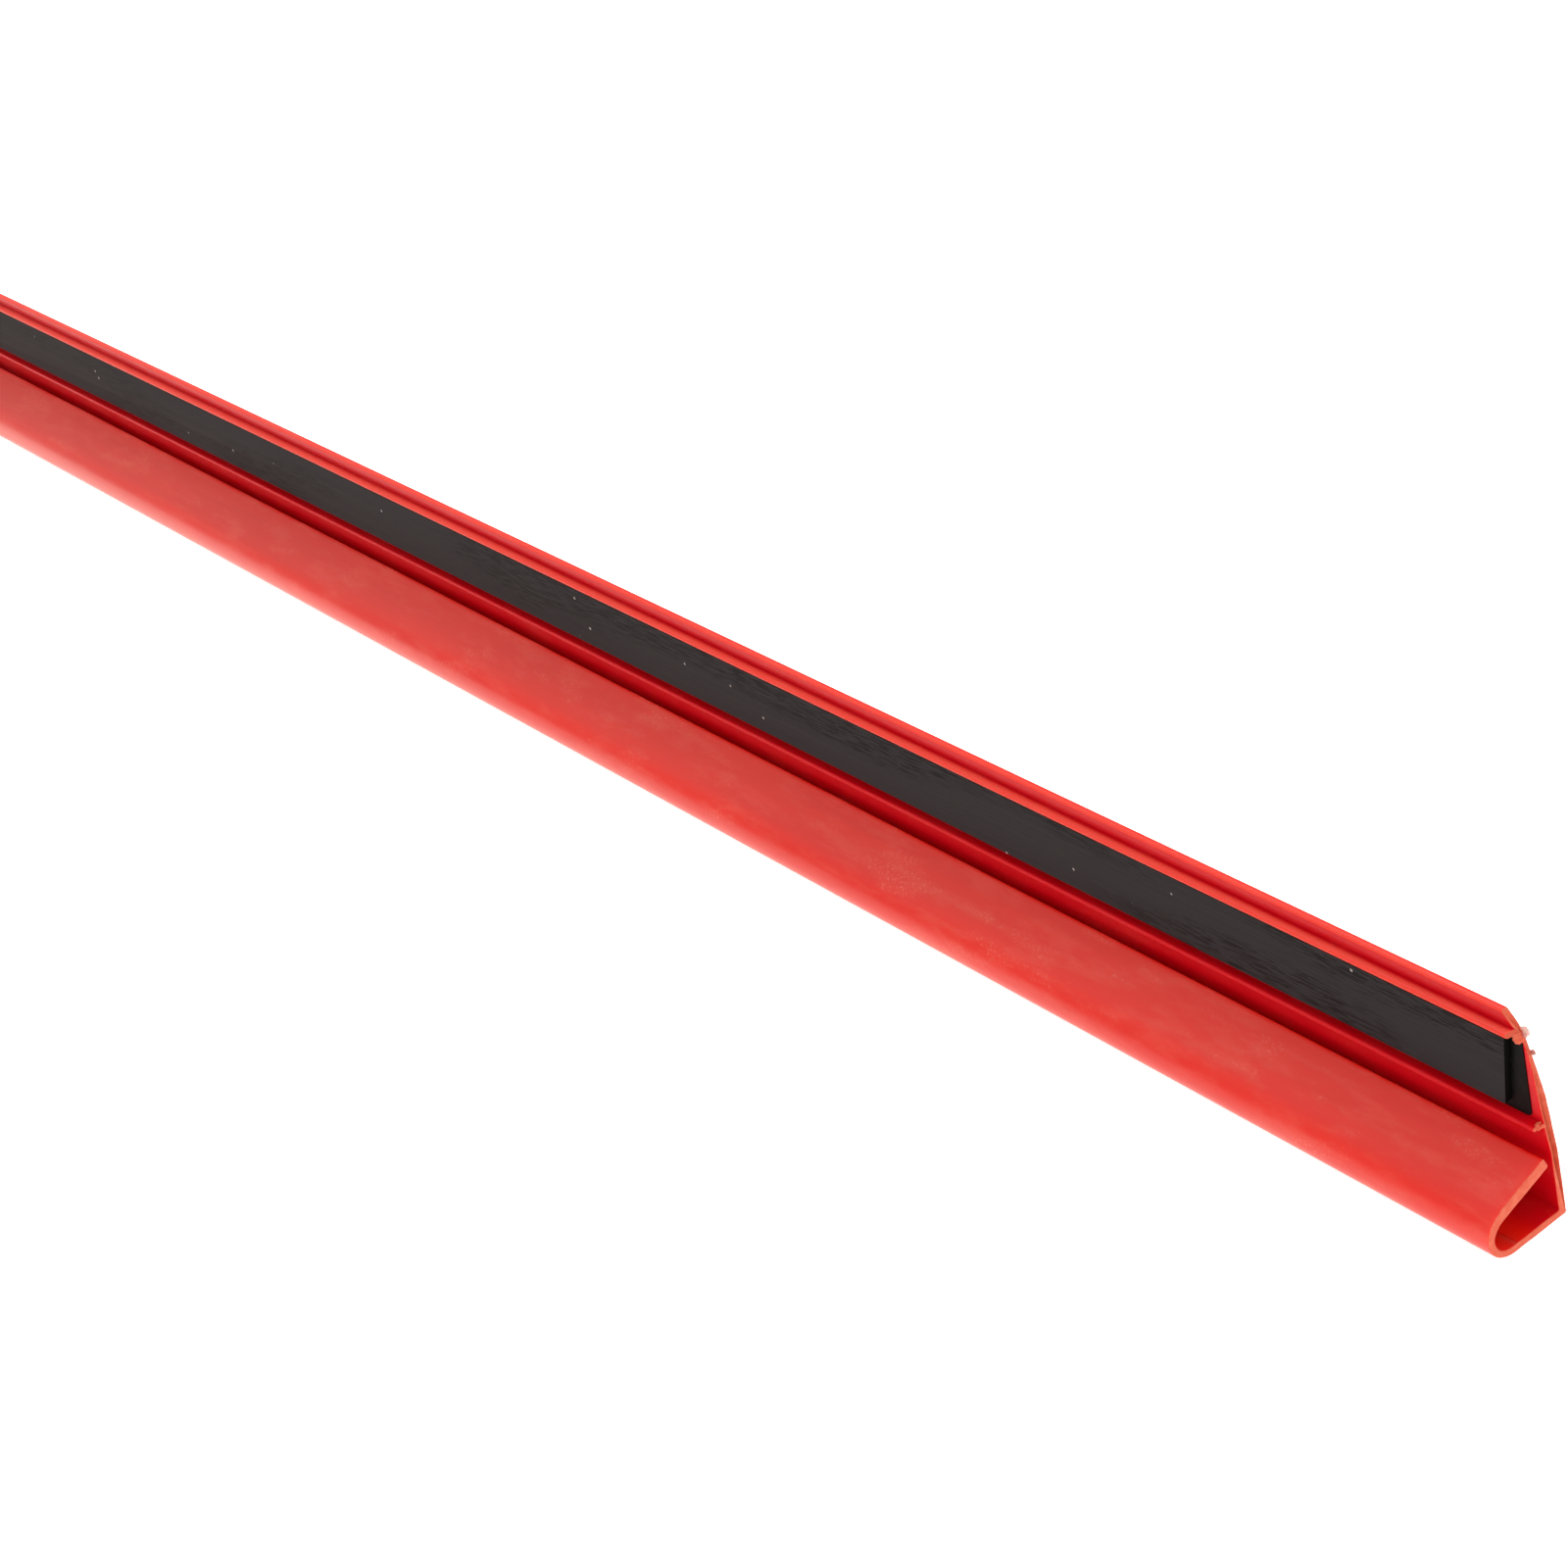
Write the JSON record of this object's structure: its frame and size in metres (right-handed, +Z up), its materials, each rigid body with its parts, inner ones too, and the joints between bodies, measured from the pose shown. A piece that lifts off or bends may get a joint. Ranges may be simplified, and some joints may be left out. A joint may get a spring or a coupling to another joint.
{
  "type": "magnetic clip rail",
  "caption": "Long springy plastic rail with a flat back wall, a folded clip leg along its lower edge and a flexible magnetic strip held in a shallow channel.",
  "frame": {"origin": "middle of the rail's length and depth, on the surface it stands on", "axes": "+X along the rail, the clip and the magnetic strip face -Y, +Z up along the back wall"},
  "size_m": [0.5, 0.0115, 0.0275],
  "materials": {
    "red_plastic": "satin, as extruded",
    "magnet_rubber": "matt, slightly dusty",
    "black_tape": "matt"
  },
  "bodies": {
    "rail": {"rail": "red_plastic", "adhesive_tape": "black_tape", "magnet_strip": "magnet_rubber"},
    "clip_leg": {"clip_leg": "red_plastic"}
  },
  "joints": [
    {"name": "clip_leg_flex", "type": "hinge", "parent": "rail", "child": "clip_leg", "pos_m": [0, -0.00525, 0.00341], "axis": [1, 0, 0], "range_deg": [-3, 15], "stiffness_Nm_per_rad": 2}
  ]
}
